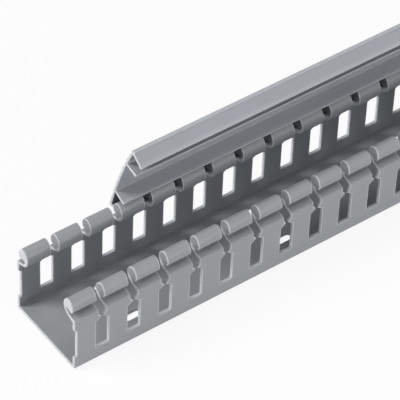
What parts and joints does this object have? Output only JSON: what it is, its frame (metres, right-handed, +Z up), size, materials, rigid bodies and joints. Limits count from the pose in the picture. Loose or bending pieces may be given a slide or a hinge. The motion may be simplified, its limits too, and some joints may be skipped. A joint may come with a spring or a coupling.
{
  "type": "slotted wire duct",
  "caption": "Slotted wire duct: channel with fingers and open slots along both walls, rounded finger heads, oblong fixing slots in its floor, and a clip-on hinged cover standing open.",
  "frame": {"origin": "centre of the channel's underside, halfway along its length", "axes": "+X along the duct, +Y towards the wall whose finger heads carry the cover, +Z up out of the channel's mouth"},
  "size_m": [1, 0.0585, 0.0943],
  "materials": {
    "duct_plastic": "satin",
    "cover_plastic": "satin"
  },
  "bodies": {
    "channel": {"duct_base": "duct_plastic"},
    "lid": {"hinged_cover": "cover_plastic"}
  },
  "joints": [
    {"name": "cover_hinge", "type": "hinge", "parent": "channel", "child": "lid", "pos_m": [0, 0.0226, 0.0432], "axis": [1, 0, 0], "range_deg": [-7.6, 70.4]}
  ]
}
